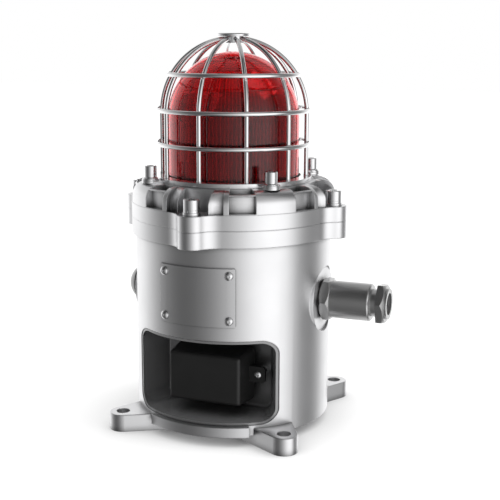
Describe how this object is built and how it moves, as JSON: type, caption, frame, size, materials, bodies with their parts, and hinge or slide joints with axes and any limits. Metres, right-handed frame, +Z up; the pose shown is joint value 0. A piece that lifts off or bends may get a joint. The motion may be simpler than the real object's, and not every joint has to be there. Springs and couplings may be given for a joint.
{
  "type": "beacon sounder",
  "caption": "Flameproof beacon sounder: cast round housing on four feet, sounder in a front window, red domed lamp under a wire guard, side cable gland.",
  "frame": {"origin": "on the body axis, level with the undersides of the four feet", "axes": "+Z up along the body axis, -Y to the front (sounder window), +X along the cable gland"},
  "size_m": [0.2284, 0.1916, 0.316],
  "materials": {
    "cast_metal": "bright satin casting",
    "steel": "bright zinc or stainless steel",
    "wire": "bright polished wire",
    "gland_metal": "nickel plated brass",
    "plug_metal": "dark plated steel",
    "plate": "satin, bare",
    "black_moulding": "black, fine satin",
    "chamber": "dark grey, glossy",
    "rubber": "matt black",
    "glass": "clear, faint red",
    "red_lens": "clear red, ribbed",
    "lamp_dark": "dark",
    "board": "green board",
    "led": "unlit",
    "inner_steel": "plain",
    "terminal": "grey"
  },
  "bodies": {
    "root": {"blanking_plug": "plug_metal", "board_screws": "inner_steel", "board_spacers": "inner_steel", "board_tray": "inner_steel", "colour_lens": "red_lens", "control_board": "board", "cover": "cast_metal", "cover_bolts": "steel", "cover_washers": "steel", "dome_retainer": "inner_steel", "dome_seal": "rubber", "flange_seal": "rubber", "gland_body": "gland_metal", "gland_locknut": "gland_metal", "gland_nut": "gland_metal", "gland_seal": "rubber", "gland_washer": "rubber", "glass_dome": "glass", "guard_bar_01": "wire", "guard_bar_02": "wire", "guard_bar_03": "wire", "guard_bar_04": "wire", "guard_bar_05": "wire", "guard_bar_06": "wire", "guard_bar_07": "wire", "guard_bar_08": "wire", "guard_bar_09": "wire", "guard_bar_10": "wire", "guard_base": "steel", "guard_bolts": "steel", "guard_cap": "steel", "guard_ring_lower": "wire", "guard_ring_middle": "wire", "guard_ring_upper": "wire", "guard_washers": "steel", "housing": "cast_metal", "lamp_column": "lamp_dark", "lamp_connector": "lamp_dark", "lamp_plate": "inner_steel", "lamp_plate_screws": "inner_steel", "led_board_1": "lamp_dark", "led_board_2": "lamp_dark", "led_board_3": "lamp_dark", "led_board_4": "lamp_dark", "led_board_5": "lamp_dark", "led_board_6": "lamp_dark", "leds": "led", "name_plate": "plate", "plate_screws": "steel", "sound_chamber": "chamber", "sounder_back": "black_moulding", "sounder_case": "black_moulding", "sounder_driver": "inner_steel", "sounder_posts": "steel", "sounder_screws": "steel", "spring_washers": "steel", "terminal_block": "terminal", "transformer": "inner_steel", "tray_posts": "inner_steel"}
  },
  "joints": []
}
